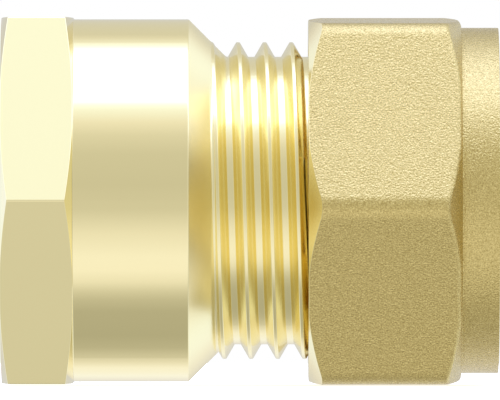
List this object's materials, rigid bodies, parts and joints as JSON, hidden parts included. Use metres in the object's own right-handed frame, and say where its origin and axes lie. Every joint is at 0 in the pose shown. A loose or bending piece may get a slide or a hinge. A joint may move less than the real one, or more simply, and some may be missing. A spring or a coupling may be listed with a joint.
{
  "type": "pipe union",
  "caption": "Brass compression union joining a plain 15 mm pipe to a male half-inch pipe thread, with a hexagon body, an olive and a blasted hexagon nut",
  "frame": {"origin": "on the pipe axis, in the plane of the female thread's mouth", "axes": "+X runs along the pipe axis from the female thread to the nut, +Z is square to the upper flat of the body's hexagon, +Y is across the pipe"},
  "size_m": [0.0326, 0.0278, 0.0242],
  "materials": {
    "turned_brass": "turned bright",
    "blasted_brass": "forged and sand-blasted",
    "olive_brass": "plain turned"
  },
  "bodies": {
    "body": {"body": "turned_brass"},
    "olive": {"olive": "olive_brass"},
    "nut": {"compression_nut": "blasted_brass"}
  },
  "joints": [
    {"name": "screw_travel", "type": "slide", "parent": "body", "child": "olive", "axis": [1, 0, 0], "range_m": [-0.00176, 0.00264]},
    {"name": "nut_spin", "type": "hinge", "parent": "olive", "child": "nut", "pos_m": [0, 0, 0], "axis": [1, 0, 0], "range_deg": [-360, 540]}
  ],
  "couplings": [
    {"joint": "screw_travel", "follows": "nut_spin", "m_per_rad": 0.00027852}
  ]
}
